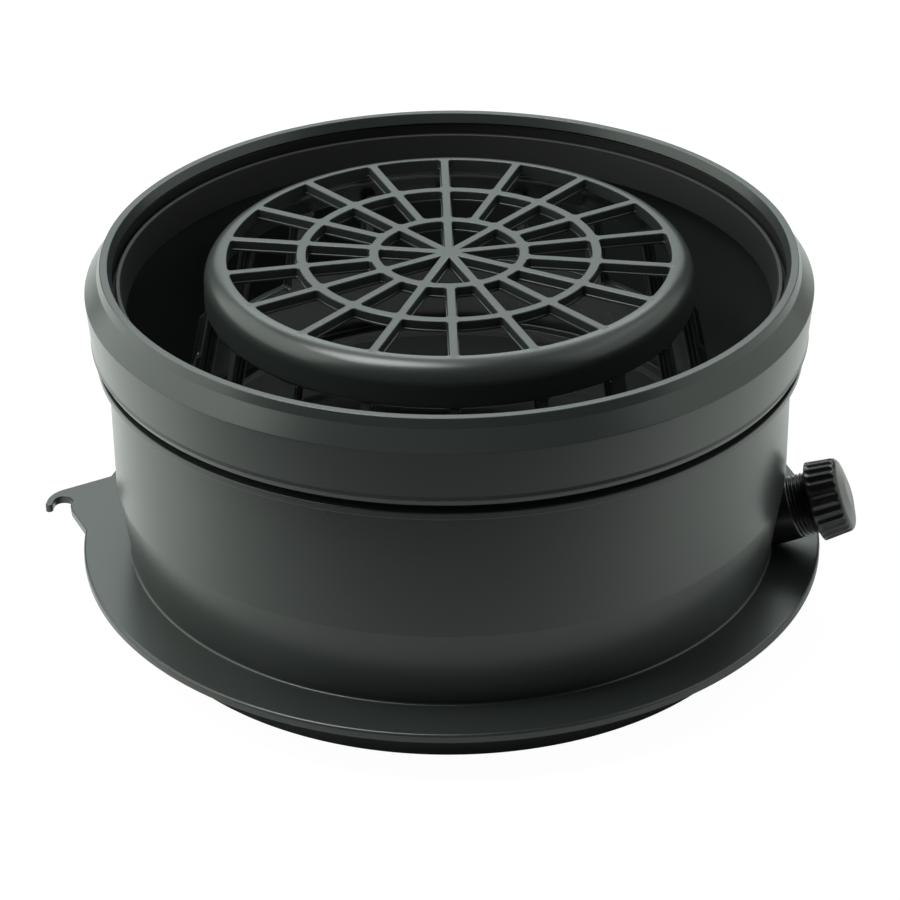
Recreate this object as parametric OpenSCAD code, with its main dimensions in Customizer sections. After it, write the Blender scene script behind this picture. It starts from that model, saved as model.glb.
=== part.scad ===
// Air inlet adapter: a round plastic housing that joins a 200 mm duct to an appliance.
// The duct goes into the collar at the top. The spigot and the flange seat on the appliance.
// Millimetres. Z is the housing's axis, z = 0 is the spigot's end and +X runs through the spout.

/* [Duct socket] */
// Outside diameter of the duct that the socket takes
duct_d = 200; // [190:1:212]
// Radial gap between the duct and the socket wall
duct_clear = 1.8; // [1.2:0.1:2.4]
// How far the seal lip reaches inside the duct's radius
lip_squeeze = 1.75; // [0.8:0.05:2.4]

/* [Housing] */
// Wall thickness of the housing
wall_t = 3.0; // [2.2:0.1:3.6]
// Outside diameter of the spigot that enters the appliance
spigot_d = 203.6; // [199:0.2:208]
// Height of the spigot below the flange
spigot_h = 14.7; // [9:0.1:22]
// Width of the flange around the spigot
flange_w = 14.7; // [12:0.1:20]
// Thickness of the flange and its hook lugs
flange_t = 2.8; // [2.2:0.1:4]
// How far the foot of the drum draws in from the spigot's outside
foot_inset = 0.6; // [0.2:0.1:1.2]
// Height from the flange's top to the crease where the drum stops widening
foot_h = 25.8; // [24:0.2:32]
// Height from the crease to the top of the drum's ledge
drum_h = 42.9; // [36:0.1:54]
// Width of the ledge around the top of the drum
ledge_w = 3.4; // [2.6:0.1:4]
// Thickness of that ledge
ledge_t = 2.2; // [1.6:0.1:3]
// Height of the neck that stands on the drum inside the collar
neck_h = 10.8; // [9:0.1:12]
// Thickness of the floor inside the housing
floor_t = 2.6; // [2:0.1:3.4]
// Width of the floor, from the socket wall to its round hole
floor_w = 15.8; // [14.6:0.1:18]

/* [Hook lugs] */
// Angles of the hook lugs about the axis, from the spout
lug_angles = [180, 60];
// How far outside the flange's edge the screws stand
screw_out = 10.1; // [9:0.1:13]
// Width of the slot that takes the screw
slot_w = 5.8; // [4.6:0.1:6.4]
// Width of the hook's arm beside the slot
arm_w = 2.4; // [1.8:0.1:3.2]
// How far the slot's seat lies behind the lug's centre line
seat_back = 1.6; // [1:0.1:3]
// How far the arm's tip reaches in front of the centre line
arm_reach = 1.8; // [1.2:0.1:3]
// Direction of the lug's back edge
back_edge_angle = 37; // [32:1:44]

/* [Collar] */
// Gap between the drum's ledge and the collar
collar_gap = 2.7; // [1.6:0.1:3.4]
// Height of the collar
collar_h = 25.9; // [24.6:0.1:30]
// Thickness of the collar at its greatest diameter
collar_t = 5.7; // [5.2:0.1:8]
// Height of the cone that leads up from the greatest diameter
cone_h = 5.6; // [4.4:0.1:6.6]
// How far that cone draws in
cone_in = 4.0; // [3:0.1:4.6]
// Height of the band between the cone and the rim
band_h = 2.8; // [2:0.1:3.6]
// Width of the flat rim
rim_w = 2.3; // [1.6:0.1:2.8]
// Depth of the lead-in chamfer inside the rim
lead_h = 3.2; // [2:0.1:4]
// Height of the open groove between the lead-in and the seal
groove_h = 3.1; // [2:0.1:3.6]
// Height of the snap ring that holds the collar on the neck
snap_h = 1.8; // [1.2:0.1:2.4]
// How far the snap ring stands out
snap_out = 0.5; // [0.3:0.05:0.8]

/* [Inlet guard] */
// Outside diameter of the guard's skirt
skirt_d = 148.6; // [142:0.2:153]
// Radius of the rounded shoulder above the skirt
shoulder_r = 7; // [5:0.5:8]
// Height of the skirt and the shoulder
skirt_h = 13.5; // [12:0.1:17]
// Thickness of the guard's walls
guard_t = 2.6; // [2:0.1:3]
// How far the grille lies below the collar's rim
grille_drop = 0.8; // [0.2:0.1:4]
// Depth of the grille's bars
bar_h = 3.4; // [2.6:0.1:5]
// Width of the spokes
spoke_w = 2.7; // [2:0.1:3.4]
// Width of the two rings in the grille
ring_w = 3.0; // [2:0.1:3.6]
// Outer radius of the inner ring
inner_ring_r = 24.3; // [20:0.1:28]
// Outer radius of the middle ring
middle_ring_r = 46.3; // [40:0.1:50]
// Number of spokes, every second one of which runs on to the hub
spokes = 18; // [12:2:24]
// Turn of the spokes about the axis, from the spout
guard_turn = -2; // [-10:1:10]
// Height of the windows between the slats
window_h = 26.5; // [20:0.5:30]
// Thickness of a slat
slat_t = 3.0; // [2.2:0.1:4]
// Depth of a slat, inward from its outer face
slat_d = 4.4; // [3.6:0.1:5]
// Height of the window that the outer buttress on each slat covers
buttress_h = 14; // [8:0.5:18]
// How far the buttress stands out from its slat
buttress_out = 1.3; // [0.6:0.1:1.6]

/* [Spout] */
// Height of the spout's axis above the flange, at the foot's radius
spout_rise = 10.4; // [10.2:0.1:12]
// Tilt of the spout above the horizontal
spout_tilt = 21; // [17:0.5:24]
// Diameter of the spout's plain shank and of its thread
spout_d = 19.8; // [18:0.1:20.4]
// Length of the plain shank beyond the drum's radius
shank_l = 3.2; // [2.5:0.1:7]
// Depth of the boss that holds the spout, inward from the foot's radius
boss_l = 7.4; // [5:0.1:10]
// Wall thickness of that boss
boss_t = 2.6; // [1.8:0.1:3.4]
// Length of the thread
thread_l = 14.6; // [12:0.1:17]
// Depth of the thread, which the end chamfer follows
thread_depth = 0.6; // [0.4:0.05:0.8]
// Diameter of the spout's bore
spout_bore_d = 15; // [12:0.1:16]

/* [Screw cap] */
// Outside diameter of the screw cap at its mouth
cap_d = 25.4; // [24.6:0.1:28]
// Length of the cap
cap_l = 11.1; // [10:0.1:13]
// How much narrower the cap is at its shoulder, in radius
cap_taper = 0.8; // [0.3:0.1:1]
// Radius of the rounded shoulder at the cap's end
cap_shoulder_r = 2.4; // [1.6:0.1:2.8]
// How far the crown rises from the shoulder to its flat middle
crown_rise = 1.1; // [0.6:0.1:1.4]
// Diameter of the crown's flat middle
crown_flat_d = 9.4; // [7:0.1:12]
// Number of flutes
flutes = 24; // [12:1:30]
// Depth of a flute
flute_depth = 0.6; // [0.3:0.05:0.9]
// Thickness of the cap's end wall
cap_end_t = 2.2; // [2:0.1:2.8]
// Thickness of the gasket in the cap
gasket_t = 1.2; // [0.8:0.1:1.8]

/* [Hidden] */

PLASTIC = [0.20, 0.22, 0.21];
BLACK = [0.08, 0.08, 0.08];
RUBBER = [0.12, 0.11, 0.11];
FINE = 180;
SMALL = 64;
// Overlap that fuses neighbouring solids, gap between fitted pieces and small edge bevel
fuse = 0.4;
fit_gap = 0.08;
bevel = 0.6;

socket_r = duct_d / 2 + duct_clear;
drum_r = socket_r + wall_t;
spigot_r = spigot_d / 2;
foot_r = spigot_r - foot_inset;
flange_r = spigot_r + flange_w;
flange_z = spigot_h + flange_t;
crease_z = flange_z + foot_h;
ledge_z = crease_z + drum_h;
ledge_r = drum_r + ledge_w;
neck_r = drum_r - fit_gap;
neck_z = ledge_z + neck_h;
floor_r = socket_r - floor_w;
floor_top = crease_z + floor_t;
screw_circle_r = flange_r + screw_out;

collar_z = ledge_z + collar_gap;
rim_z = collar_z + collar_h;
seat_r = neck_r + fit_gap;
collar_r = seat_r + collar_t;
band_r = collar_r - cone_in;
rim_r = band_r - 1;
rim_in_r = rim_r - rim_w;
lead_r = rim_in_r - 1.4;
cone_z = rim_z - band_h;
max_z = cone_z - cone_h;
groove_z = rim_z - lead_h;
seal_top = groove_z - groove_h;
snap_z = collar_z + (neck_z - collar_z) / 2;
lip_r = duct_d / 2 - lip_squeeze;
lip_lead = 1.4;
lip_t = 1.3;

skirt_r = skirt_d / 2;
grille_top = rim_z - grille_drop;
skirt_bottom = grille_top - skirt_h;
opening_r = skirt_r - shoulder_r;
window_bottom = skirt_bottom - window_h;
guard_foot_r = floor_r - fit_gap;
base_w = 2;
base_t = 2.2;
base_top = floor_top + base_t;
// The slats and the apron below them lean out from the skirt to the guard's foot
lean = (guard_foot_r - 0.6 - skirt_r) / (skirt_bottom - base_top);
function lean_r(z) = skirt_r + lean * (skirt_bottom - z);

spout_r = spout_d / 2;
spout_bore_r = spout_bore_d / 2;
spout_z = flange_z + spout_rise;
thread_start = max(0, drum_r - foot_r) / cos(spout_tilt) + shank_l;
seat_in = boss_l + max(0, foot_r - drum_r);
spout_end = thread_start + thread_l;
cap_end = spout_end + gasket_t + 2 * fit_gap + cap_end_t;
cap_r = cap_d / 2;
cap_mouth = cap_end - cap_l;
cap_bore_r = spout_r + fit_gap;

// Points of an arc about a centre, from one angle to another
function arc(x, y, r, from, to, steps = 6) =
    [for (i = [0:steps]) let (a = from + (to - from) * i / steps) [x + r * cos(a), y + r * sin(a)]];

module revolve(points, facets = FINE) {
    rotate_extrude($fn = facets) polygon(points);
}

module ring(outer, inner, z, h, facets = FINE) {
    translate([0, 0, z]) difference() {
        cylinder(r = outer, h = h, $fn = facets);
        translate([0, 0, -1]) cylinder(r = inner, h = h + 2, $fn = facets);
    }
}

// Moves its children to the spout's axis, where z runs outward from the foot's radius
module on_spout_axis() {
    translate([foot_r, 0, spout_z]) rotate([0, 90 - spout_tilt, 0]) children();
}

// One hook lug, drawn along +X: the arm shields the slot, which opens counter-clockwise
module hook_lug() {
    hook_c = screw_circle_r + slot_w / 2 + arm_w - 9;
    arm_x = screw_circle_r + (slot_w + arm_w) / 2;
    back = back_edge_angle - 90;
    back_l = 23;
    back_start = [hook_c + 9 * cos(back) - back_l * cos(back_edge_angle),
                  -seat_back + 9 * sin(back) - back_l * sin(back_edge_angle)];
    translate([0, 0, spigot_h]) linear_extrude(flange_t) polygon(concat(
        [[foot_r + 2, -20], back_start],
        arc(hook_c, -seat_back, 9, back, 0, 8),
        arc(arm_x, arm_reach - arm_w / 2, arm_w / 2, 0, 180, 8),
        arc(screw_circle_r, -seat_back, slot_w / 2, 0, -180, 12),
        [[screw_circle_r - slot_w / 2, 0.6],
         [screw_circle_r - slot_w / 2 - 1.1, 3.6],
         [flange_r - 2.2, 17],
         [foot_r + 2, 17]]));
}

// Drum, foot, flange and spigot turned in one wall, with the floor that carries the guard
module housing_shell() {
    top_in = neck_z - 1.2;
    revolve(concat(
        [[spigot_r - wall_t, 0], [spigot_r - bevel, 0], [spigot_r, bevel], [spigot_r, spigot_h],
         [flange_r - bevel / 2, spigot_h], [flange_r, spigot_h + bevel / 2],
         [flange_r, flange_z - bevel], [flange_r - bevel, flange_z]],
        arc(foot_r + bevel, flange_z + bevel, bevel, 270, 180, 3),
        [[drum_r, crease_z], [drum_r, ledge_z - ledge_t - 0.5], [ledge_r, ledge_z - ledge_t],
         [ledge_r, ledge_z - bevel / 2], [ledge_r - bevel / 2, ledge_z],
         [neck_r, ledge_z], [neck_r, snap_z - snap_h / 2],
         [neck_r + snap_out, snap_z - snap_h / 6], [neck_r + snap_out, snap_z + snap_h / 6],
         [neck_r, snap_z + snap_h / 2], [neck_r, top_in], [neck_r - bevel, neck_z],
         [socket_r + bevel, neck_z], [socket_r, neck_z - bevel],
         [socket_r, floor_top], [floor_r, floor_top], [floor_r, crease_z],
         [socket_r, crease_z], [foot_r - wall_t, flange_z], [spigot_r - wall_t, spigot_h]]));
}

module housing() {
    color(PLASTIC) difference() {
        union() {
            housing_shell();
            for (a = lug_angles) rotate([0, 0, a]) hook_lug();
            // Boss inside the wall that carries the spout's shank
            intersection() {
                on_spout_axis() translate([0, 0, -seat_in])
                    cylinder(r = spout_r + boss_t, h = seat_in + spout_end, $fn = SMALL);
                revolve([[0, spigot_h], [foot_r - fuse, spigot_h], [foot_r - fuse, flange_z],
                         [drum_r - fuse, crease_z], [0, crease_z]]);
            }
        }
        on_spout_axis() translate([0, 0, -seat_in - spout_d])
            cylinder(r = spout_r, h = seat_in + spout_d + spout_end, $fn = SMALL);
    }
}

// Ring that snaps on the neck and clamps the seal
module collar() {
    color(PLASTIC) revolve(concat(
        [[seat_r, collar_z], [collar_r - 1.3, collar_z], [collar_r - 0.8, collar_z + 0.5],
         [collar_r - 0.7, collar_z + 2.3], [collar_r - 1.2, collar_z + 2.9],
         [collar_r - 0.3, collar_z + 6.5], [collar_r, max_z], [band_r, cone_z],
         [rim_r, rim_z - bevel / 2], [rim_r - bevel / 2, rim_z],
         [rim_in_r, rim_z], [lead_r, groove_z], [seat_r, groove_z - 0.4],
         [seat_r, snap_z + snap_h / 2],
         [seat_r + snap_out, snap_z + snap_h / 6], [seat_r + snap_out, snap_z - snap_h / 6],
         [seat_r, snap_z - snap_h / 2]]));
}

// Rubber seal clamped between the neck and the collar: its inner leg is the lip that grips the duct
module duct_seal() {
    back_t = 2.2;
    clamp_z = groove_z - 0.4 - fit_gap;
    root_z = seal_top - 2;
    color(RUBBER) revolve([
        [neck_r, neck_z], [neck_r, clamp_z], [neck_r - back_t, clamp_z], [neck_r - back_t, seal_top],
        [lip_r + lip_lead, seal_top], [lip_r, neck_z + 1.4], [lip_r + 0.3, neck_z + 0.8],
        [lip_r + lip_t, neck_z + 1.2], [lip_r + lip_lead + lip_t, root_z - 0.6],
        [lip_r + lip_lead + lip_t + 0.4, root_z], [neck_r - back_t, root_z - 0.4],
        [neck_r - back_t, neck_z]]);
}

// Flat star of bars inside the skirt's opening, each with a narrow lip along its lower edges
module grille() {
    z = grille_top - bar_h;
    lip_h = 0.6;
    lip_w = 0.3;
    for (r = [inner_ring_r, middle_ring_r]) {
        ring(r, r - ring_w, z, bar_h);
        ring(r + lip_w, r - ring_w - lip_w, z, lip_h);
    }
    for (i = [0:spokes - 1]) rotate([0, 0, guard_turn + i * 360 / spokes]) {
        start = i % 2 == 1 ? 0 : inner_ring_r - ring_w / 2;
        translate([start, -spoke_w / 2, z]) cube([opening_r + 1 - start, spoke_w, bar_h]);
        translate([start, -spoke_w / 2 - lip_w, z])
            cube([opening_r + 1 - start, spoke_w + 2 * lip_w, lip_h]);
    }
}

// Rolled edge around the grille
module skirt() {
    inner = skirt_r - guard_t;
    revolve(concat(
        [[opening_r, grille_top - bar_h - 1], [opening_r, grille_top]],
        arc(opening_r, grille_top - shoulder_r, shoulder_r, 90, 0, 10),
        [[skirt_r + 0.3, skirt_bottom + bevel / 2], [skirt_r, skirt_bottom],
         [inner + 0.4, skirt_bottom], [inner, grille_top - shoulder_r - 0.6],
         [inner - 3, grille_top - bar_h - 1]]));
}

// A leaning plate in the slat's plane, measured inward from the slats' outer line
module slat_plate(outward, inward, top, bottom, t) {
    rotate([90, 0, 0]) translate([0, 0, -t / 2]) linear_extrude(t)
        polygon([[lean_r(top) + outward, top], [lean_r(bottom) + outward, bottom],
                 [lean_r(bottom) - inward, bottom], [lean_r(top) - inward, top]]);
}

// One slat: a web with a bead along its outer and inner edges, and a buttress at its foot
module slat() {
    bottom = window_bottom - 2;
    bead = 1.3;
    web_t = slat_t - 0.9;
    slat_plate(-0.1, slat_d, skirt_bottom + 3, bottom, web_t);
    slat_plate(-0.1, bead, skirt_bottom + 0.5, bottom, slat_t);
    translate([bead - slat_d, 0, 0]) slat_plate(-0.1, bead, skirt_bottom + 2, bottom, slat_t);
    slat_plate(buttress_out, bead, window_bottom + buttress_h, window_bottom - 4, web_t + 0.4);
}

// Leaning wall below the windows, with the foot that stands on the housing's floor
module apron() {
    inner = lean_r(base_top) - guard_t;
    revolve([
        [lean_r(window_bottom), window_bottom],
        [lean_r(base_top), base_top],
        [floor_r + base_w, base_top],
        [floor_r + base_w, floor_top],
        [guard_foot_r, floor_top],
        [guard_foot_r, crease_z - 0.1],
        [guard_foot_r + 0.9, crease_z - 0.1],
        [guard_foot_r - 0.3, crease_z - 1.6],
        [guard_foot_r - 2, crease_z - 1.6],
        [guard_foot_r - 2, floor_top],
        [inner - 2, floor_top],
        [inner - 2, base_top],
        [inner, base_top],
        [lean_r(window_bottom) - guard_t, window_bottom]]);
}

module guard() {
    color(PLASTIC) union() {
        grille();
        skirt();
        apron();
        for (i = [0:spokes - 1]) rotate([0, 0, guard_turn + i * 360 / spokes]) slat();
    }
}

// Tube pressed through the boss from inside, up to its head, with a threaded outer end
module spout() {
    head_t = 1.6;
    head_r = spout_r + boss_t - 0.8;
    color(BLACK) on_spout_axis() revolve([
        [spout_bore_r, -seat_in - head_t], [head_r - 0.5, -seat_in - head_t],
        [head_r, -seat_in - head_t + 0.5], [head_r, -seat_in], [spout_r, -seat_in],
        [spout_r, spout_end - thread_depth], [spout_r - thread_depth, spout_end],
        [spout_bore_r, spout_end]], SMALL);
}

// Cap with a fluted side that draws in to a rounded shoulder and a low crown
module screw_cap() {
    side_r = cap_r - cap_taper;
    shoulder_end = 78;
    shoulder_z = cap_end - crown_rise - cap_shoulder_r * sin(shoulder_end);
    groove_r = 1.1;
    flute_start = 0.9;
    lean_in = atan(cap_taper / (shoulder_z - cap_mouth));
    color(BLACK) on_spout_axis() difference() {
        revolve(concat(
            [[cap_bore_r + 0.6, cap_mouth], [cap_r - 0.5, cap_mouth], [cap_r, cap_mouth + 0.6]],
            arc(side_r - cap_shoulder_r, shoulder_z, cap_shoulder_r, 0, shoulder_end, 6),
            [[crown_flat_d / 2, cap_end], [0, cap_end], [0, cap_end - cap_end_t],
             [cap_bore_r, cap_end - cap_end_t], [cap_bore_r, cap_mouth + 0.6]]), 96);
        for (i = [0:flutes - 1]) rotate([0, 0, i * 360 / flutes])
            translate([cap_r + groove_r - flute_depth, 0, cap_mouth + flute_start])
                rotate([0, -lean_in, 0]) cylinder(r = groove_r, h = cap_l, $fn = 24);
    }
}

module cap_gasket() {
    color(RUBBER) on_spout_axis() ring(spout_r, spout_bore_r - 1, spout_end + fit_gap, gasket_t, SMALL);
}

housing();
collar();
duct_seal();
guard();
spout();
screw_cap();
cap_gasket();
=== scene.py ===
"""Air inlet adapter: surfaces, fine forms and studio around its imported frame.

Lengths in the classes are millimetres, and the meshes are made in metres in the frame's own axes. Z is
the housing's axis, z = 0 is the spigot's end and +X runs through the side spout.
"""

import logging
import math
from collections.abc import Callable, Sequence
from dataclasses import dataclass
from enum import Enum

import bmesh
import bpy
from mathutils import Matrix, Vector

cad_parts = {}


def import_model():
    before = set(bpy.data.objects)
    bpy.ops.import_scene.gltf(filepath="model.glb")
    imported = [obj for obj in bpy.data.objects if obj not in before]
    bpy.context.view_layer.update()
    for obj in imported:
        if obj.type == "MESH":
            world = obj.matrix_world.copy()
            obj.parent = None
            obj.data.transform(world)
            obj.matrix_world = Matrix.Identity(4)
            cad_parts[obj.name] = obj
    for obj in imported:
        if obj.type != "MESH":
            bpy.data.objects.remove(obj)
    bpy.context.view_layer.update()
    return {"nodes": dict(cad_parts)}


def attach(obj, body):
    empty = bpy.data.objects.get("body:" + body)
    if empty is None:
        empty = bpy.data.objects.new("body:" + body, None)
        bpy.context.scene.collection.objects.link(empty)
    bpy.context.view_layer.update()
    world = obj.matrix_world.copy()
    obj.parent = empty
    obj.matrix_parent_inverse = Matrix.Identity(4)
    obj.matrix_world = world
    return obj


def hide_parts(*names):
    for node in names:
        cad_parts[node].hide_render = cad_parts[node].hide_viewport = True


LOG = logging.getLogger("air_inlet_adapter")
MM = 0.001
ROUND_STEPS = 4
LATHE_STEPS = 360
SMOOTH_ANGLE = math.radians(38)

Point = tuple[float, float]
Warp = Callable[[float, float, float], Point]


class Body(Enum):
    """The rigid bodies of the frame."""

    ADAPTER = "adapter"
    CAP_FEED = "cap_feed"
    CAP = "cap"


class Slot(Enum):
    """The record's material slots."""

    PLASTIC = "plastic"
    BLACK_PLASTIC = "black_plastic"
    RUBBER = "rubber"


@dataclass(frozen=True)
class Corner:
    """A corner of an outline and the radius that rounds it."""

    x: float
    y: float
    radius: float = 0.0


def outline(*corners: Sequence[float]) -> list[Corner]:
    """Makes corners from short tuples.

    Args:
        corners: Tuples of x, y and, where the corner is rounded, its radius.

    Returns:
        The corners, in the same order.
    """
    return [Corner(*corner) for corner in corners]


def rounded(corners: Sequence[Corner], steps: int = ROUND_STEPS) -> list[Point]:
    """Rounds the corners of a closed outline.

    Args:
        corners: The outline's corners, in order.
        steps: Straight pieces in each rounded corner.

    Returns:
        The points of the rounded outline.
    """
    points: list[Point] = []
    for index, corner in enumerate(corners):
        here = Vector((corner.x, corner.y))
        before = corners[index - 1]
        after = corners[(index + 1) % len(corners)]
        back = Vector((before.x, before.y)) - here
        ahead = Vector((after.x, after.y)) - here
        half = back.angle(ahead, math.pi) / 2
        if corner.radius <= 0 or half > math.radians(89):
            points.append((corner.x, corner.y))
            continue
        room = min(side.length * corner.radius / (corner.radius + near.radius)
                   for side, near in ((back, before), (ahead, after)))
        cut = min(corner.radius / math.tan(half), 0.999 * room)
        radius = cut * math.tan(half)
        centre = here + (back.normalized() + ahead.normalized()).normalized() * radius / math.sin(half)
        start = here + back.normalized() * cut - centre
        end = here + ahead.normalized() * cut - centre
        first = math.atan2(start.y, start.x)
        sweep = (math.atan2(end.y, end.x) - first + math.pi) % math.tau - math.pi
        for step in range(steps + 1):
            angle = first + sweep * step / steps
            points.append((centre.x + radius * math.cos(angle), centre.y + radius * math.sin(angle)))
    return points


def new_piece(name: str, verts: Sequence[Sequence[float]], faces: Sequence[Sequence[int]]) -> bpy.types.Object:
    """Makes a closed mesh object.

    Args:
        name: The piece's name.
        verts: Points in millimetres.
        faces: Indices of the points of each face.

    Returns:
        The object, linked to the scene, with its faces pointing outward.
    """
    mesh = bpy.data.meshes.new(name)
    mesh.from_pydata([Vector(v) * MM for v in verts], [], faces)
    made = bmesh.new()
    made.from_mesh(mesh)
    bmesh.ops.remove_doubles(made, verts=made.verts, dist=1e-7)
    bmesh.ops.recalc_face_normals(made, faces=made.faces)
    made.to_mesh(mesh)
    made.free()
    piece = bpy.data.objects.new(name, mesh)
    bpy.context.collection.objects.link(piece)
    return piece


def lathe(name: str, points: Sequence[Point], steps: int = LATHE_STEPS, warp: Warp | None = None) -> bpy.types.Object:
    """Turns a closed outline about the Z axis.

    Args:
        name: The piece's name.
        points: Radius and height of each point of the outline.
        steps: Divisions around the axis.
        warp: Gives a point's radius and height from its angle, radius and height.

    Returns:
        The turned piece.
    """
    verts: list[Sequence[float]] = []
    for step in range(steps):
        angle = math.tau * step / steps
        for radius, height in points:
            if warp is not None and radius > 0:
                radius, height = warp(angle, radius, height)
            verts.append((radius * math.cos(angle), radius * math.sin(angle), height))
    count = len(points)
    faces: list[Sequence[int]] = []
    for step in range(steps):
        here, there = step * count, (step + 1) % steps * count
        for i in range(count):
            j = (i + 1) % count
            if points[i][0] <= 0 and points[j][0] <= 0:
                continue
            corners = [here + i, there + i, there + j, here + j]
            if points[i][0] <= 0:
                corners.remove(there + i)
            if points[j][0] <= 0:
                corners.remove(there + j)
            faces.append(corners)
    return new_piece(name, verts, faces)


def loft(name: str, sections: Sequence[Sequence[Sequence[float]]]) -> bpy.types.Object:
    """Joins a row of like sections into a closed solid.

    Args:
        name: The piece's name.
        sections: The points of each section, with as many in each.

    Returns:
        The lofted piece, with a flat face at each end.
    """
    count = len(sections[0])
    verts = [point for section in sections for point in section]
    faces: list[Sequence[int]] = [list(range(count)), list(range(len(verts) - count, len(verts)))]
    for row in range(len(sections) - 1):
        for i in range(count):
            j = (i + 1) % count
            faces.append([row * count + i, row * count + j, (row + 1) * count + j, (row + 1) * count + i])
    return new_piece(name, verts, faces)


def combine(base: bpy.types.Object, others: Sequence[bpy.types.Object], operation: str = "UNION") -> bpy.types.Object:
    """Joins solids to a base, or cuts them from it, and removes them.

    Args:
        base: The solid that is kept.
        others: The solids that join it or cut it.
        operation: UNION or DIFFERENCE.

    Returns:
        The base, as one closed mesh.
    """
    for other in others:
        modifier = base.modifiers.new("combine", "BOOLEAN")
        modifier.operation = operation
        modifier.solver = "MANIFOLD"
        modifier.object = other
    settle(base)
    for other in others:
        bpy.data.objects.remove(other)
    return base


def settle(piece: bpy.types.Object) -> None:
    """Applies a piece's modifiers to its mesh."""
    graph = bpy.context.evaluated_depsgraph_get()
    mesh = bpy.data.meshes.new_from_object(piece.evaluated_get(graph))
    piece.modifiers.clear()
    piece.data = mesh


def smooth(piece: bpy.types.Object, angle: float = SMOOTH_ANGLE) -> None:
    """Shades a piece smooth, with its flat faces kept flat beside rounded edges.

    Args:
        piece: The piece.
        angle: Edges sharper than this stay sharp.
    """
    piece.data.shade_smooth()
    piece.data.set_sharp_from_angle(angle=angle)
    weights = piece.modifiers.new("weights", "WEIGHTED_NORMAL")
    weights.keep_sharp = True
    weights.weight = 80
    settle(piece)


def turned(piece: bpy.types.Object, degrees: float) -> bpy.types.Object:
    """Turns a piece's mesh about Z by an angle in degrees."""
    piece.data.transform(Matrix.Rotation(math.radians(degrees), 4, "Z"))
    return piece


def linear(code: str) -> tuple[float, float, float, float]:
    """Turns an sRGB hex colour into linear values.

    Args:
        code: Six hex digits after a hash.

    Returns:
        Red, green, blue and an alpha of 1.
    """
    parts = [int(code[i : i + 2], 16) / 255 for i in (1, 3, 5)]
    return (*(c / 12.92 if c <= 0.04045 else ((c + 0.055) / 1.055) ** 2.4 for c in parts), 1.0)


def add_node(tree: bpy.types.NodeTree, kind: str, settings: dict | None = None, links: dict | None = None) -> bpy.types.Node:
    """Adds a node with its settings and links.

    Args:
        tree: The node tree.
        kind: The node's type.
        settings: Values by the name of a property or an input.
        links: Output sockets by the name of the input that they feed.

    Returns:
        The node.
    """
    node = tree.nodes.new(kind)
    for name, value in (settings or {}).items():
        if hasattr(node, name):
            setattr(node, name, value)
        else:
            node.inputs[name].default_value = value
    for name, socket in (links or {}).items():
        tree.links.new(socket, node.inputs[name])
    return node


def per_metre(size_mm: float) -> float:
    """Gives the noise scale of a pattern whose features are this many millimetres wide."""
    return 1 / (size_mm * MM)


@dataclass(frozen=True)
class MouldedPlastic:
    """Injection moulded polypropylene: dense dark pigment, a satin skin and faint flow marks."""

    name: str
    colour: str
    flow_colour: str
    roughness: float
    flow_mm: float = 38.0
    # Real spark grain is about 0.1 mm, too fine to show, so it is drawn coarser
    grain_mm: float = 0.7
    grain_depth_mm: float = 0.006
    ior: float = 1.545

    def build(self) -> bpy.types.Material:
        """Builds the material."""
        material = bpy.data.materials.new(self.name)
        material.use_nodes = True
        tree = material.node_tree
        shader = tree.nodes["Principled BSDF"]
        shader.inputs["IOR"].default_value = self.ior
        where = add_node(tree, "ShaderNodeTexCoord").outputs["Object"]
        flow = add_node(tree, "ShaderNodeTexNoise", {"Scale": per_metre(self.flow_mm), "Detail": 3.0}, {"Vector": where})
        blend = add_node(tree, "ShaderNodeMix", {"data_type": "RGBA"}, {"Factor": flow.outputs["Fac"]})
        blend.inputs[6].default_value = linear(self.colour)
        blend.inputs[7].default_value = linear(self.flow_colour)
        tree.links.new(blend.outputs[2], shader.inputs["Base Color"])
        haze = add_node(tree, "ShaderNodeMapRange", {"To Min": self.roughness - 0.04, "To Max": self.roughness + 0.04},
                        {"Value": flow.outputs["Fac"]})
        tree.links.new(haze.outputs["Result"], shader.inputs["Roughness"])
        grain = add_node(tree, "ShaderNodeTexNoise", {"Scale": per_metre(self.grain_mm), "Detail": 2.0}, {"Vector": where})
        bump = add_node(tree, "ShaderNodeBump", {"Distance": self.grain_depth_mm * MM, "Strength": 1.0},
                        {"Height": grain.outputs["Fac"]})
        tree.links.new(bump.outputs["Normal"], shader.inputs["Normal"])
        return material


@dataclass(frozen=True)
class MouldedRubber:
    """Moulded EPDM rubber: matt black, with a soft sheen at a low angle."""

    name: str = "epdm_rubber_moulded"
    colour: str = "#171718"
    roughness: float = 0.62
    grain_mm: float = 1.2
    grain_depth_mm: float = 0.01

    def build(self) -> bpy.types.Material:
        """Builds the material."""
        material = bpy.data.materials.new(self.name)
        material.use_nodes = True
        tree = material.node_tree
        shader = tree.nodes["Principled BSDF"]
        shader.inputs["Base Color"].default_value = linear(self.colour)
        shader.inputs["IOR"].default_value = 1.5
        where = add_node(tree, "ShaderNodeTexCoord").outputs["Object"]
        grain = add_node(tree, "ShaderNodeTexNoise", {"Scale": per_metre(self.grain_mm), "Detail": 3.0}, {"Vector": where})
        haze = add_node(tree, "ShaderNodeMapRange", {"To Min": self.roughness - 0.06, "To Max": self.roughness + 0.06},
                        {"Value": grain.outputs["Fac"]})
        tree.links.new(haze.outputs["Result"], shader.inputs["Roughness"])
        bump = add_node(tree, "ShaderNodeBump", {"Distance": self.grain_depth_mm * MM}, {"Height": grain.outputs["Fac"]})
        tree.links.new(bump.outputs["Normal"], shader.inputs["Normal"])
        return material


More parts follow.
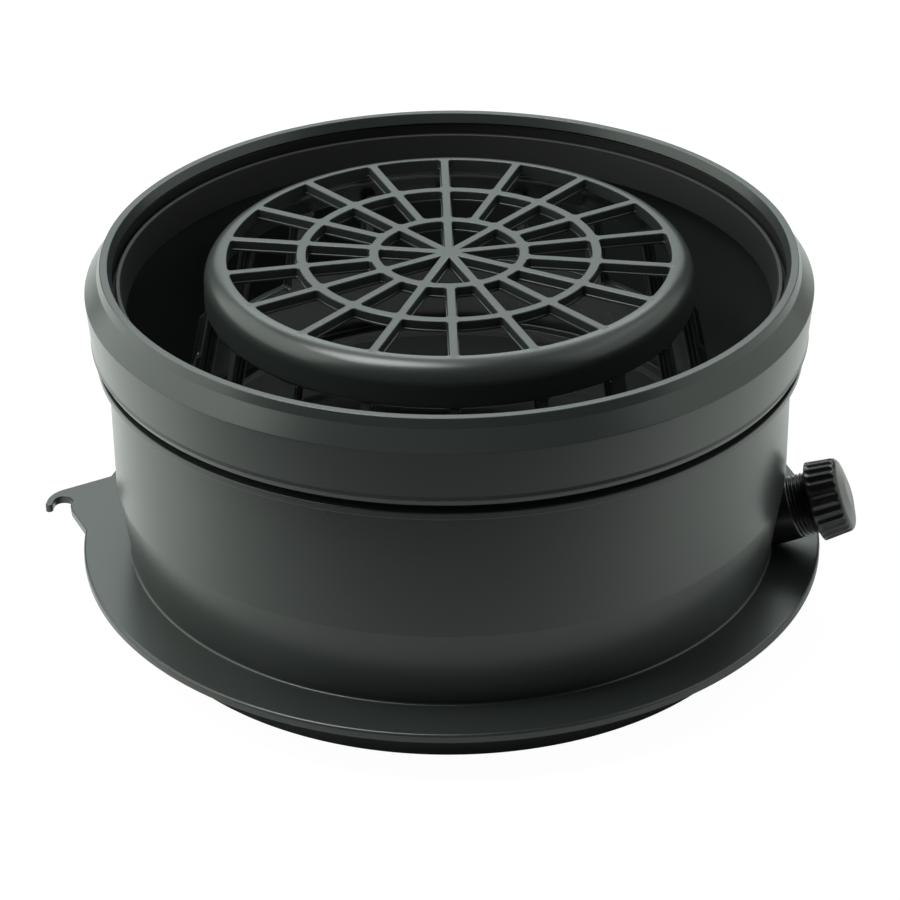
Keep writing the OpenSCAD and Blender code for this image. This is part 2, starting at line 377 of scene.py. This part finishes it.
def finish_piece(piece: bpy.types.Object, material: bpy.types.Material, body: Body, slot: Slot, *nodes: str) -> None:
    """Dresses a piece and puts it in the frame.

    Args:
        piece: The piece.
        material: Its finish.
        body: The body that it moves with.
        slot: The record's slot for its finish. Not used.
        nodes: The frame's nodes that it stands for.
    """
    smooth(piece)
    piece.data.materials.clear()
    piece.data.materials.append(material)
    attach(piece, body.value)
    if nodes:
        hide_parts(*nodes)
    LOG.info("%s: %d faces", piece.name, len(piece.data.polygons))


@dataclass
class Sizes:
    """The sizes that several sub-assemblies share."""

    duct_r: float = 100.0
    duct_clear: float = 1.8
    wall_t: float = 3.0
    spigot_r: float = 101.8
    spigot_h: float = 14.7
    flange_r: float = 116.5
    flange_t: float = 2.8
    foot_r: float = 101.2
    foot_h: float = 25.8
    drum_h: float = 42.9
    ledge_w: float = 3.4
    ledge_t: float = 2.2
    neck_h: float = 10.8
    floor_t: float = 2.6
    floor_w: float = 15.8
    collar_gap: float = 2.7
    collar_h: float = 25.9
    fit_gap: float = 0.08

    @property
    def socket_r(self) -> float:
        """Radius of the wall around the duct."""
        return self.duct_r + self.duct_clear

    @property
    def drum_r(self) -> float:
        """Outer radius of the drum."""
        return self.socket_r + self.wall_t

    @property
    def flange_z(self) -> float:
        """Height of the flange's top."""
        return self.spigot_h + self.flange_t

    @property
    def crease_z(self) -> float:
        """Height at which the foot meets the drum."""
        return self.flange_z + self.foot_h

    @property
    def ledge_z(self) -> float:
        """Height of the ledge's top."""
        return self.crease_z + self.drum_h

    @property
    def neck_z(self) -> float:
        """Height of the neck's top."""
        return self.ledge_z + self.neck_h

    @property
    def neck_r(self) -> float:
        """Outer radius of the neck."""
        return self.drum_r - self.fit_gap

    @property
    def floor_r(self) -> float:
        """Radius of the hole in the housing's floor."""
        return self.socket_r - self.floor_w

    @property
    def floor_top(self) -> float:
        """Height of the floor's top."""
        return self.crease_z + self.floor_t

    @property
    def collar_z(self) -> float:
        """Height of the collar's lower edge."""
        return self.ledge_z + self.collar_gap

    @property
    def rim_z(self) -> float:
        """Height of the collar's rim."""
        return self.collar_z + self.collar_h

    @property
    def groove_z(self) -> float:
        """Height at which the collar's lead-in ends."""
        return self.rim_z - 3.2

    @property
    def seal_top(self) -> float:
        """Height of the seal's inner leg."""
        return self.groove_z - 3.1


@dataclass
class HookLug:
    """A lug beside the flange whose hooked arm takes a screw."""

    sizes: Sizes
    screw_out: float = 10.1
    slot_w: float = 5.8
    arm_w: float = 2.4
    seat_back: float = 1.6
    arm_reach: float = 1.8
    back_angle: float = 37.0
    edge_r: float = 0.45

    def outline(self) -> list[Point]:
        """Gives the lug's outline, drawn along +X."""
        screw_r = self.sizes.flange_r + self.screw_out
        half = self.slot_w / 2
        tip = screw_r + half + self.arm_w / 2
        hook = screw_r + half + self.arm_w - 9
        slope = math.radians(self.back_angle)
        start = Vector((hook, -self.seat_back)) + 9 * Vector((math.sin(slope), -math.cos(slope)))
        start -= 23 * Vector((math.cos(slope), math.sin(slope)))

        def arc(x: float, y: float, r: float, first: float, last: float, steps: int) -> list[Point]:
            angles = [math.radians(first + (last - first) * i / steps) for i in range(steps + 1)]
            return [(x + r * math.cos(a), y + r * math.sin(a)) for a in angles]

        inner = self.sizes.foot_r + 2
        return [(inner, -20.0), (start.x, start.y),
                *arc(hook, -self.seat_back, 9, self.back_angle - 90, 0, 10),
                *arc(tip, self.arm_reach - self.arm_w / 2, self.arm_w / 2, 0, 180, 10),
                *arc(screw_r, -self.seat_back, half, 0, -180, 16),
                (screw_r - half, 0.6), (screw_r - half - 1.1, 3.6), (self.sizes.flange_r - 2.2, 17.0), (inner, 17.0)]

    def build(self, angle: float) -> bpy.types.Object:
        """Builds the lug with softened edges, turned to its place.

        Args:
            angle: The lug's angle about the axis, in degrees.

        Returns:
            The lug.
        """
        points = self.outline()
        low, high = self.sizes.spigot_h, self.sizes.flange_z
        lug = loft("lug", [[(x, y, low) for x, y in points], [(x, y, high) for x, y in points]])
        rim = bmesh.new()
        rim.from_mesh(lug.data)
        edges = [e for e in rim.edges if abs(e.verts[0].co.z - e.verts[1].co.z) < 1e-6]
        bmesh.ops.bevel(rim, geom=edges, offset=self.edge_r * MM, segments=3, profile=0.5, affect="EDGES", clamp_overlap=True)
        rim.to_mesh(lug.data)
        rim.free()
        return turned(lug, angle)


@dataclass
class Spout:
    """The side spout, its thread and its place on the housing."""

    sizes: Sizes
    rise: float = 10.4
    tilt: float = 21.0
    spout_r: float = 9.9
    bore_r: float = 7.5
    shank_l: float = 3.2
    thread_l: float = 14.6
    thread_depth: float = 0.62
    pitch: float = 1.25
    boss_l: float = 7.4
    boss_t: float = 2.6

    @property
    def thread_start(self) -> float:
        """Distance along the axis to the thread."""
        return (self.sizes.drum_r - self.sizes.foot_r) / math.cos(math.radians(self.tilt)) + self.shank_l

    @property
    def end(self) -> float:
        """Distance along the axis to the spout's end."""
        return self.thread_start + self.thread_l

    def placed(self, piece: bpy.types.Object) -> bpy.types.Object:
        """Moves a piece drawn along Z to the spout's axis."""
        place = Matrix.Translation(Vector((self.sizes.foot_r, 0, self.sizes.flange_z + self.rise)) * MM)
        piece.data.transform(place @ Matrix.Rotation(math.radians(90 - self.tilt), 4, "Y"))
        return piece

    def thread(self, angle: float, radius: float, height: float) -> Point:
        """Cuts a right-hand thread with round crests and roots into the spout's outside."""
        if radius < self.spout_r - self.thread_depth - 0.05 or height < self.thread_start:
            return radius, height
        turn = (height / self.pitch - angle / math.tau) % 1
        ridge = 0.5 + 0.5 * math.cos(math.tau * turn)
        fade = min(1.0, (height - self.thread_start) / self.pitch)
        return radius - self.thread_depth * fade * (1 - ridge**0.8), height

    def build(self, material: bpy.types.Material) -> None:
        """Builds the spout."""
        head_r = self.spout_r + self.boss_t - 0.8
        inner = rounded(outline((self.bore_r, self.end, 0.3), (self.bore_r, -self.boss_l - 1.6, 0.3),
                                (head_r, -self.boss_l - 1.6, 0.5), (head_r, -self.boss_l, 0.2),
                                (self.spout_r, -self.boss_l)))
        inner = inner[ROUND_STEPS // 2 :]
        steps = round(self.thread_l / self.pitch * 10)
        threaded = [(self.spout_r, self.thread_start + self.thread_l * i / steps) for i in range(steps + 1)]
        points = [*inner, (self.spout_r, 0.0), (self.spout_r, self.thread_start - 0.2), *threaded]
        piece = self.placed(lathe("spout_piece", points, 120, self.thread))
        finish_piece(piece, material, Body.ADAPTER, Slot.BLACK_PLASTIC, "spout")


@dataclass
class Housing:
    """Spigot, flange, hook lugs, foot, drum, ledge, neck and floor in one moulding."""

    sizes: Sizes
    lug: HookLug
    spout: Spout
    lug_angles: tuple[float, ...] = (180.0, 60.0)
    snap_out: float = 0.5
    snap_h: float = 1.8

    def shell(self) -> bpy.types.Object:
        """Turns the wall's outline."""
        s = self.sizes
        snap_z = s.collar_z + (s.neck_z - s.collar_z) / 2
        ledge_r = s.drum_r + s.ledge_w
        wall = outline(
            (s.spigot_r - s.wall_t, 0, 0.3), (s.spigot_r, 0, 0.7), (s.spigot_r, s.spigot_h, 0.3),
            (s.flange_r, s.spigot_h, 0.4), (s.flange_r, s.flange_z, 0.9), (s.foot_r, s.flange_z, 0.7),
            (s.drum_r, s.crease_z, 0.4), (s.drum_r, s.ledge_z - s.ledge_t - 0.4, 0.4),
            (ledge_r, s.ledge_z - s.ledge_t, 0.4), (ledge_r, s.ledge_z, 0.4), (s.neck_r, s.ledge_z, 0.3),
            (s.neck_r, snap_z - self.snap_h / 2), (s.neck_r + self.snap_out, snap_z - self.snap_h / 6, 0.3),
            (s.neck_r + self.snap_out, snap_z + self.snap_h / 6, 0.3), (s.neck_r, snap_z + self.snap_h / 2),
            (s.neck_r, s.neck_z, 0.7), (s.socket_r, s.neck_z, 0.6), (s.socket_r, s.floor_top, 0.8),
            (s.floor_r, s.floor_top, 0.3), (s.floor_r, s.crease_z, 0.3), (s.socket_r, s.crease_z, 0.8),
            (s.foot_r - s.wall_t, s.flange_z, 3), (s.spigot_r - s.wall_t, s.spigot_h, 3))
        return lathe("housing_piece", rounded(wall))

    def boss(self) -> bpy.types.Object:
        """Makes the spout's boss, which stays inside the wall."""
        s = self.sizes
        boss = lathe("boss", rounded(outline((0, -self.spout.boss_l), (self.spout.spout_r + self.spout.boss_t, -self.spout.boss_l, 0.5),
                                             (self.spout.spout_r + self.spout.boss_t, 9), (0, 9))), 96)
        self.spout.placed(boss)
        inside = lathe("inside", [(0, s.spigot_h + 0.4), (s.foot_r - 1, s.spigot_h + 0.4), (s.foot_r - 1, s.flange_z),
                                  (s.drum_r - 1, s.crease_z - 0.1), (0, s.crease_z - 0.1)])
        return combine(boss, [inside], "INTERSECT")

    def build(self, material: bpy.types.Material) -> None:
        """Builds the housing."""
        piece = combine(self.shell(), [self.boss(), *(self.lug.build(angle) for angle in self.lug_angles)])
        reach = self.spout.spout_r + self.spout.end
        hole_r = self.spout.spout_r + 0.02
        hole = self.spout.placed(lathe("hole", [(0, -reach), (hole_r, -reach), (hole_r, reach), (0, reach)], 96))
        combine(piece, [hole], "DIFFERENCE")
        finish_piece(piece, material, Body.ADAPTER, Slot.PLASTIC, "housing")


@dataclass
class Collar:
    """The snap ring with its double lower lip, its cone, its rim and the lead-in for the duct."""

    sizes: Sizes
    thickness: float = 5.7
    cone_h: float = 5.6
    cone_in: float = 4.0
    band_h: float = 2.8
    rim_w: float = 2.3
    snap_out: float = 0.5
    snap_h: float = 1.8

    def build(self, material: bpy.types.Material) -> None:
        """Builds the collar."""
        s = self.sizes
        seat = s.drum_r
        widest = seat + self.thickness
        band = widest - self.cone_in
        cone_z = s.rim_z - self.band_h
        rim = band - 1
        snap_z = s.collar_z + (s.neck_z - s.collar_z) / 2
        profile = outline(
            (seat, s.collar_z, 0.2), (widest - 2.0, s.collar_z, 0.3), (widest - 1.6, s.collar_z + 1.5, 0.5),
            (widest - 0.9, s.collar_z + 2.0, 0.3), (widest - 1.2, s.collar_z + 3.1, 0.4),
            (widest - 0.1, cone_z - self.cone_h - 1.2, 6), (widest, cone_z - self.cone_h, 1.2), (band, cone_z, 1.0),
            (rim, s.rim_z, 0.4), (rim - self.rim_w, s.rim_z, 0.45), (rim - self.rim_w - 1.4, s.groove_z, 0.3),
            (seat, s.groove_z - 0.4, 0.2), (seat, snap_z + self.snap_h / 2),
            (seat + self.snap_out, snap_z + self.snap_h / 6, 0.2), (seat + self.snap_out, snap_z - self.snap_h / 6, 0.2),
            (seat, snap_z - self.snap_h / 2))
        piece = lathe("collar_piece", rounded(profile))
        finish_piece(piece, material, Body.ADAPTER, Slot.PLASTIC, "collar")


@dataclass
class DuctSeal:
    """The rubber ring whose inner leg hangs in the socket and grips the duct."""

    sizes: Sizes
    squeeze: float = 1.75
    lead: float = 1.4
    lip_t: float = 1.3
    back_t: float = 2.2
    groove_d: float = 3.6
    web_t: float = 2.0

    def build(self, material: bpy.types.Material) -> None:
        """Builds the seal."""
        s = self.sizes
        lip = s.duct_r - self.squeeze
        clamp = s.groove_z - 0.4 - s.fit_gap
        back = s.neck_r - self.back_t
        behind = lip + self.lead + self.lip_t
        groove = s.seal_top - self.groove_d
        root = groove - self.web_t
        profile = outline(
            (s.neck_r, s.neck_z), (s.neck_r, clamp, 0.3), (back, clamp, 0.4), (back, groove, 0.6),
            (behind, groove, 0.6), (behind, s.seal_top, 0.3), (lip + self.lead, s.seal_top, 0.5), (lip, s.neck_z + 1.4, 1.0), (lip + 0.3, s.neck_z + 0.8, 0.3),
            (lip + self.lip_t, s.neck_z + 1.2, 0.3), (behind, root - 0.6, 0.4),
            (behind + 0.4, root, 0.3), (back, root - 0.4, 0.4), (back, s.neck_z))
        piece = lathe("duct_seal_piece", rounded(profile))
        finish_piece(piece, material, Body.ADAPTER, Slot.RUBBER, "duct_seal")


@dataclass
class InletGuard:
    """Star grille, rolled skirt, fluted slats, apron and foot in one moulding."""

    sizes: Sizes
    skirt_r: float = 74.3
    shoulder_r: float = 7.0
    skirt_h: float = 13.5
    wall_t: float = 2.6
    drop: float = 0.8
    bar_h: float = 3.4
    spoke_w: float = 2.7
    ring_w: float = 3.0
    inner_ring_r: float = 24.3
    middle_ring_r: float = 46.3
    spokes: int = 18
    turn: float = -2.0
    window_h: float = 26.5
    slat_t: float = 3.0
    slat_d: float = 4.4
    corner_slats: tuple[int, ...] = (3, 7, 12, 16)
    corner_slat_t: float = 5.4
    buttress_h: float = 14.0
    buttress_out: float = 1.3
    base_w: float = 2.0
    base_t: float = 2.2
    step_w: float = 3.7
    lip_w: float = 0.3
    lip_h: float = 0.6
    fillet: float = 1.0

    @property
    def top(self) -> float:
        """Height of the grille's top."""
        return self.sizes.rim_z - self.drop

    @property
    def skirt_bottom(self) -> float:
        """Height of the skirt's lower edge."""
        return self.top - self.skirt_h

    @property
    def opening_r(self) -> float:
        """Radius of the opening inside the shoulder."""
        return self.skirt_r - self.shoulder_r

    @property
    def window_bottom(self) -> float:
        """Height of the windows' lower edge."""
        return self.skirt_bottom - self.window_h

    @property
    def base_top(self) -> float:
        """Height of the foot's top."""
        return self.sizes.floor_top + self.base_t

    @property
    def foot_r(self) -> float:
        """Radius of the foot in the housing's floor."""
        return self.sizes.floor_r - self.sizes.fit_gap

    def lean_r(self, height: float) -> float:
        """Gives the radius of the slats' outer line at a height."""
        slope = (self.foot_r - 0.6 - self.skirt_r) / (self.skirt_bottom - self.base_top)
        return self.skirt_r + slope * (self.skirt_bottom - height)

    def flare(self, gap: float) -> float:
        """Gives how far a bar widens at a distance from what it runs into."""
        if gap >= self.fillet or gap < -self.fillet:
            return 0.0
        reach = self.fillet - max(gap, 0.0)
        return self.fillet - math.sqrt(self.fillet**2 - reach**2) if reach < self.fillet else self.fillet

    def bar_section(self, width: float) -> list[Point]:
        """Gives the section of a bar, across and up, with the narrow lip at its foot."""
        half, low = width / 2, self.top - self.bar_h
        step = low + self.lip_h
        foot = half + self.lip_w
        return rounded(outline(
            (-foot, low), (foot, low), (foot, step, 0.12), (half, step, 0.15), (half, self.top, 0.4),
            (-half, self.top, 0.4), (-half, step, 0.15), (-foot, step, 0.12)), 3)

    def spoke(self, index: int) -> bpy.types.Object:
        """Builds one spoke, flared where it meets the rings and the skirt."""
        to_hub = index % 2 == 1
        start = 0.0 if to_hub else self.inner_ring_r - self.ring_w / 2
        end = self.opening_r + 1
        edges = [self.opening_r]
        for ring in (self.inner_ring_r, self.middle_ring_r):
            edges += [ring, ring - self.ring_w]
        stations = {start, end}
        for edge in edges:
            stations |= {edge + self.fillet * k / 4 for k in range(-4, 5)}
        section = self.bar_section(self.spoke_w)
        rows = []
        for x in sorted(v for v in stations if start <= v <= end):
            wide = max(self.flare(abs(x - edge)) for edge in edges)
            rows.append([(x, y + math.copysign(wide, y), z) for y, z in section])
        return turned(loft("spoke", rows), self.turn + index * 360 / self.spokes)

    def ring(self, outer: float) -> bpy.types.Object:
        """Builds one ring of the grille."""
        middle = outer - self.ring_w / 2
        return lathe("ring", [(middle + y, z) for y, z in self.bar_section(self.ring_w)])

    def skirt(self) -> bpy.types.Object:
        """Turns the rolled edge around the grille."""
        inner = self.skirt_r - self.wall_t
        low = self.top - self.bar_h
        return lathe("guard_piece", rounded(outline(
            (self.opening_r, low - 1, 0.3), (self.opening_r, self.top, 0.35), (self.skirt_r, self.top, self.shoulder_r),
            (self.skirt_r + 0.3, self.skirt_bottom + 0.8, 0.4), (self.skirt_r, self.skirt_bottom, 0.4),
            (inner + 0.4, self.skirt_bottom, 0.4), (inner, self.top - self.shoulder_r, 3), (inner - 3, low - 1, 1)), 12))

    def apron(self) -> bpy.types.Object:
        """Turns the wall below the windows and the foot that snaps in the floor."""
        s = self.sizes
        inner = self.lean_r(self.base_top) - self.wall_t
        return lathe("apron", rounded(outline(
            (self.lean_r(self.window_bottom), self.window_bottom, 0.4), (self.lean_r(self.base_top), self.base_top, 1),
            (s.floor_r + self.base_w, self.base_top, 0.3), (s.floor_r + self.base_w, s.floor_top, 0.2),
            (self.foot_r, s.floor_top), (self.foot_r, s.crease_z - 0.1), (self.foot_r + 0.9, s.crease_z - 0.1, 0.1),
            (self.foot_r - 0.3, s.crease_z - 1.6, 0.2), (self.foot_r - 2, s.crease_z - 1.6, 0.2),
            (self.foot_r - 2, s.floor_top, 0.5), (inner - self.step_w, s.floor_top, 0.4), (inner - self.step_w, self.base_top, 0.25),
            (inner, self.base_top, 0.6), (self.lean_r(self.window_bottom) - self.wall_t, self.window_bottom, 0.4)), 3))

    def slat_section(self, thickness: float) -> list[Point]:
        """Gives a slat's section: depth inward from its outer face, and half its thickness either side."""
        half = thickness / 2
        web, rib, deep = half - 0.45, half - 0.15, self.slat_d
        side = [(0, half, 0.35), (1.2, half, 0.15), (1.35, web), (1.95, web), (2.1, rib, 0.1), (2.6, rib, 0.1),
                (2.75, web), (3.3, web), (3.45, half, 0.15), (deep, half, 0.35)]
        other = [(c[0], -c[1], *c[2:]) for c in reversed(side)]
        return rounded(outline(*side, *other), 3)

    def slat(self, index: int) -> bpy.types.Object:
        """Builds one slat, flared under the skirt and over the apron.

        The slats where two slides of the mould meet are wider.
        """
        section = self.slat_section(self.corner_slat_t if index in self.corner_slats else self.slat_t)
        low, high = self.window_bottom - 2, self.skirt_bottom + 2
        stations = {low, high}
        for edge in (self.window_bottom, self.skirt_bottom):
            stations |= {edge + self.fillet * k / 4 for k in range(-4, 5)}
        rows = []
        for z in sorted(v for v in stations if low <= v <= high):
            wide = max(self.flare(z - self.window_bottom), self.flare(self.skirt_bottom - z))
            rows.append([(self.lean_r(z) - 0.1 - u, t + math.copysign(wide, t), z) for u, t in section])
        return turned(loft("slat", rows), self.turn + index * 360 / self.spokes)

    def buttress(self, index: int) -> bpy.types.Object:
        """Builds the narrow rib that stands out from a slat's foot."""
        half = self.slat_t / 2 - 0.35
        low, high = self.window_bottom - 4, self.window_bottom + self.buttress_h
        across = rounded(outline((self.buttress_out, half, 0.3), (self.buttress_out, -half, 0.3), (-1.5, -half), (-1.5, half)), 3)
        rows = [[(self.lean_r(z) + min(u, out), t, z) for u, t in across]
                for z, out in ((low, self.buttress_out), (high - 2, self.buttress_out), (high, -0.3))]
        return turned(loft("buttress", rows), self.turn + index * 360 / self.spokes)

    def build(self, material: bpy.types.Material) -> None:
        """Builds the guard."""
        count = range(self.spokes)
        parts = [self.apron(), *(self.slat(i) for i in count), *(self.buttress(i) for i in count)]
        parts += [self.ring(self.inner_ring_r), self.ring(self.middle_ring_r), *(self.spoke(i) for i in count)]
        piece = combine(self.skirt(), parts)
        finish_piece(piece, material, Body.ADAPTER, Slot.PLASTIC, "guard")


@dataclass
class ScrewCap:
    """The fluted cap on the spout, with a rounded shoulder and a low crown."""

    spout: Spout
    mouth_r: float = 12.7
    taper: float = 0.8
    length: float = 11.1
    shoulder_r: float = 2.4
    shoulder_end: float = 78.0
    crown_rise: float = 1.1
    crown_r: float = 4.7
    flutes: int = 24
    flute_depth: float = 0.6
    end_t: float = 2.2
    gasket_t: float = 1.2

    @property
    def end(self) -> float:
        """Distance along the spout's axis to the cap's end."""
        return self.spout.end + self.gasket_t + 2 * self.spout.sizes.fit_gap + self.end_t

    @property
    def mouth(self) -> float:
        """Distance along the spout's axis to the cap's mouth."""
        return self.end - self.length

    @property
    def shoulder_z(self) -> float:
        """Distance along the spout's axis to the shoulder's centre."""
        return self.end - self.crown_rise - self.shoulder_r * math.sin(math.radians(self.shoulder_end))

    def grip(self, angle: float, radius: float, height: float) -> Point:
        """Sinks rounded flutes into the cap's side, which run out on its shoulder."""
        side = self.mouth_r - self.taper * (height - self.mouth) / (self.shoulder_z - self.mouth)
        start = min(1.0, max(0.0, (height - self.mouth - 0.5) / 0.5))
        wave = abs(math.cos(self.flutes * angle / 2)) ** 1.5
        bottom = max(side, self.mouth_r - self.taper) - self.flute_depth * start * wave
        if height > self.shoulder_z:
            bottom = self.mouth_r - self.taper - self.flute_depth * wave
        return (min(radius, bottom) if radius > self.crown_r + 4 else radius), height

    def build(self, material: bpy.types.Material) -> None:
        """Builds the cap."""
        bore = self.spout.spout_r + self.spout.sizes.fit_gap
        far = self.mouth_r - self.taper
        low = self.mouth + 0.6
        side = [(self.mouth_r - self.taper * i / 12, low + (self.shoulder_z - low) * i / 12) for i in range(12)]
        arc = [(far - self.shoulder_r + self.shoulder_r * math.cos(a), self.shoulder_z + self.shoulder_r * math.sin(a))
               for a in (math.radians(self.shoulder_end * i / 16) for i in range(17))]
        crown = rounded(outline(arc[-1], (self.crown_r, self.end, 8), (0, self.end)))[1:-1]
        points = [(bore + 0.5, self.mouth), (self.mouth_r - 0.45, self.mouth), (self.mouth_r - 0.12, self.mouth + 0.18),
                  *side, *arc, *crown, (0, self.end), (0, self.end - self.end_t), (bore, self.end - self.end_t),
                  (bore, self.mouth + 0.5)]
        piece = self.spout.placed(lathe("screw_cap_piece", points, self.flutes * 14, self.grip))
        finish_piece(piece, material, Body.CAP, Slot.BLACK_PLASTIC, "screw_cap")


@dataclass
class Studio:
    """The white table, the soft lamps and the camera at the photograph's angle."""

    turn: float = 7.0
    distance: float = 953.5
    elevation: float = 29.21
    roll: float = -0.537
    target_z: float = 54.19
    focal: float = 122.05
    shift: Point = (-0.00067, -0.0292)

    def at(self, right: float, back: float, up: float) -> Vector:
        """Turns a place as the camera sees it into the frame, in metres."""
        return Matrix.Rotation(math.radians(self.turn), 3, "Z") @ Vector((right, back, up)) * MM

    def camera(self) -> None:
        """Sets the camera."""
        rise, roll = math.radians(self.elevation), math.radians(self.roll)
        ahead = Vector((0, math.cos(rise), -math.sin(rise)))
        above = Vector((0, math.sin(rise), math.cos(rise)))
        side = Vector((1, 0, 0))
        across = side * math.cos(roll) + above * math.sin(roll)
        upward = above * math.cos(roll) - side * math.sin(roll)
        axes = Matrix((across, upward, -ahead)).transposed()
        place = Vector((0, 0, self.target_z)) - ahead * self.distance
        data = bpy.data.cameras.new("camera")
        data.lens, data.sensor_width = self.focal, 36.0
        data.shift_x, data.shift_y = self.shift
        data.clip_start, data.clip_end = 0.01, 50.0
        camera = bpy.data.objects.new("camera", data)
        camera.matrix_world = Matrix.Rotation(math.radians(self.turn), 4, "Z") @ (
            Matrix.Translation(place * MM) @ axes.to_4x4())
        bpy.context.collection.objects.link(camera)
        bpy.context.scene.camera = camera

    def lamp(self, name: str, place: Vector, size: Point, level: float, colour: str) -> None:
        """Adds a rectangular soft lamp that faces the object.

        Args:
            name: The lamp's name.
            place: Its centre.
            size: Its width and height in metres.
            level: Its brightness, where 1 is white.
            colour: Its colour.
        """
        aim = Vector((0, 0, self.target_z * MM))
        data = bpy.data.lights.new(name, "AREA")
        data.shape, data.size, data.size_y = "RECTANGLE", *size
        data.energy = math.pi * size[0] * size[1] * level
        data.color = linear(colour)[:3]
        lamp = bpy.data.objects.new(name, data)
        lamp.location = place
        lamp.rotation_euler = (aim - place).to_track_quat("-Z", "Y").to_euler()
        bpy.context.collection.objects.link(lamp)

    def lamps(self) -> None:
        """Adds the key light overhead at the left, and the softboxes at both sides and behind."""
        self.lamp("key_softbox", self.at(-450, -100, 1400), (0.6, 0.8), 10.6, "#fbfffd")
        self.lamp("left_softbox", self.at(-620, 60, 340), (0.9, 0.66), 1.85, "#f6fff5")
        self.lamp("left_front_softbox", self.at(-800, -350, 800), (0.6, 0.5), 0.6, "#f6fff5")
        self.lamp("right_low_softbox", self.at(640, 60, 340), (0.9, 0.66), 0.85, "#f6fff7")
        self.lamp("right_high_softbox", self.at(700, 60, 950), (0.9, 0.5), 0.7, "#f6fff7")
        self.lamp("back_low_softbox", self.at(0, 1300, 520), (1.6, 0.4), 1.2, "#f3fffb")
        self.lamp("back_middle_softbox", self.at(0, 1300, 900), (1.6, 0.4), 1.0, "#f3fffb")
        self.lamp("back_high_softbox", self.at(0, 1250, 1350), (1.6, 0.5), 4.8, "#f3fffb")
        self.lamp("top_softbox", self.at(0, 600, 1500), (1.2, 0.7), 0.9, "#fbfffd")

    def table(self) -> None:
        """Lays the white table.

        The camera sees it as white with a soft shadow. The object's reflections see it as it is lit at the
        sides and back; toward the camera's side they see a dim glow instead, which is painted shade in the reflections.
        """
        material = bpy.data.materials.new("white_table")
        material.use_nodes = True
        tree = material.node_tree
        shader = tree.nodes["Principled BSDF"]
        shader.inputs["Base Color"].default_value = linear("#f0f0ee")
        shader.inputs["Roughness"].default_value = 0.9
        path = add_node(tree, "ShaderNodeLightPath")
        mirrored = add_node(tree, "ShaderNodeMath", {"operation": "MAXIMUM"},
                            {0: path.outputs["Is Glossy Ray"], 1: path.outputs["Is Transmission Ray"]})
        where = add_node(tree, "ShaderNodeTexCoord")
        along = add_node(tree, "ShaderNodeSeparateXYZ", None, {"Vector": where.outputs["Object"]})
        # Painted reflection shade: toward the camera, glossy and transmission rays see a dim glow instead of the lit
        # table.
        near = add_node(tree, "ShaderNodeMapRange", {
            "From Min": -80 * MM, "From Max": -230 * MM, "To Min": 0.0, "To Max": 1.0}, {"Value": along.outputs["Y"]})
        painted_reflection_shade = add_node(tree, "ShaderNodeMath", {"operation": "MULTIPLY"}, {0: mirrored.outputs[0], 1: near.outputs["Result"]})
        seen = add_node(tree, "ShaderNodeMath", {"operation": "MULTIPLY"}, {0: path.outputs["Is Camera Ray"]})
        seen.inputs[1].default_value = 0.93
        share = add_node(tree, "ShaderNodeMath", {"operation": "MAXIMUM"}, {0: seen.outputs[0], 1: painted_reflection_shade.outputs[0]})
        # The glow is white (1.05) for the camera and a dim 0.1 for reflections, where it is the painted reflection
        # shade.
        level = add_node(tree, "ShaderNodeMapRange", {"To Min": 0.1, "To Max": 1.05}, {"Value": path.outputs["Is Camera Ray"]})
        glow = add_node(tree, "ShaderNodeEmission", None, {"Strength": level.outputs["Result"]})
        glow.inputs["Color"].default_value = (1, 1, 1, 1)
        mix = add_node(tree, "ShaderNodeMixShader")
        tree.links.new(share.outputs[0], mix.inputs[0])
        tree.links.new(shader.outputs[0], mix.inputs[1])
        tree.links.new(glow.outputs[0], mix.inputs[2])
        tree.links.new(mix.outputs[0], tree.nodes["Material Output"].inputs["Surface"])
        half = 6000
        table = new_piece("table", [(-half, -half, 0), (half, -half, 0), (half, half, 0), (-half, half, 0)], [[0, 1, 2, 3]])
        table.data.materials.append(material)

    def world(self) -> None:
        """Sets an even, low room light, and white where the camera sees past the table."""
        world = bpy.data.worlds.new("room")
        world.use_nodes = True
        bpy.context.scene.world = world
        tree = world.node_tree
        room = tree.nodes["Background"]
        room.inputs["Color"].default_value = (1, 1, 1, 1)
        room.inputs["Strength"].default_value = 0.02
        white = add_node(tree, "ShaderNodeBackground", {"Strength": 1.0})
        white.inputs["Color"].default_value = (1, 1, 1, 1)
        path = add_node(tree, "ShaderNodeLightPath")
        mix = add_node(tree, "ShaderNodeMixShader")
        tree.links.new(path.outputs["Is Camera Ray"], mix.inputs[0])
        tree.links.new(room.outputs[0], mix.inputs[1])
        tree.links.new(white.outputs[0], mix.inputs[2])
        tree.links.new(mix.outputs[0], tree.nodes["World Output"].inputs["Surface"])

    def build(self) -> None:
        """Sets the studio."""
        self.camera()
        self.world()
        self.table()
        self.lamps()
        bpy.context.scene.view_settings.view_transform = "Standard"


def main() -> None:
    """Builds the adapter around its frame, and the studio."""
    logging.basicConfig(level=logging.INFO, format="%(name)s: %(message)s")
    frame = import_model()
    grey = MouldedPlastic("polypropylene_moulded_grey", "#2d3130", "#313534", 0.29).build()
    black = MouldedPlastic("polyamide_moulded_black", "#161616", "#191919", 0.30).build()
    rubber = MouldedRubber().build()
    sizes = Sizes()
    spout = Spout(sizes)
    Housing(sizes, HookLug(sizes), spout).build(grey)
    Collar(sizes).build(grey)
    DuctSeal(sizes).build(rubber)
    InletGuard(sizes).build(grey)
    spout.build(black)
    ScrewCap(spout).build(black)
    gasket = frame["nodes"]["cap_gasket"]
    gasket.data.materials.clear()
    gasket.data.materials.append(rubber)
    Studio().build()


if __name__ == "__main__":
    main()
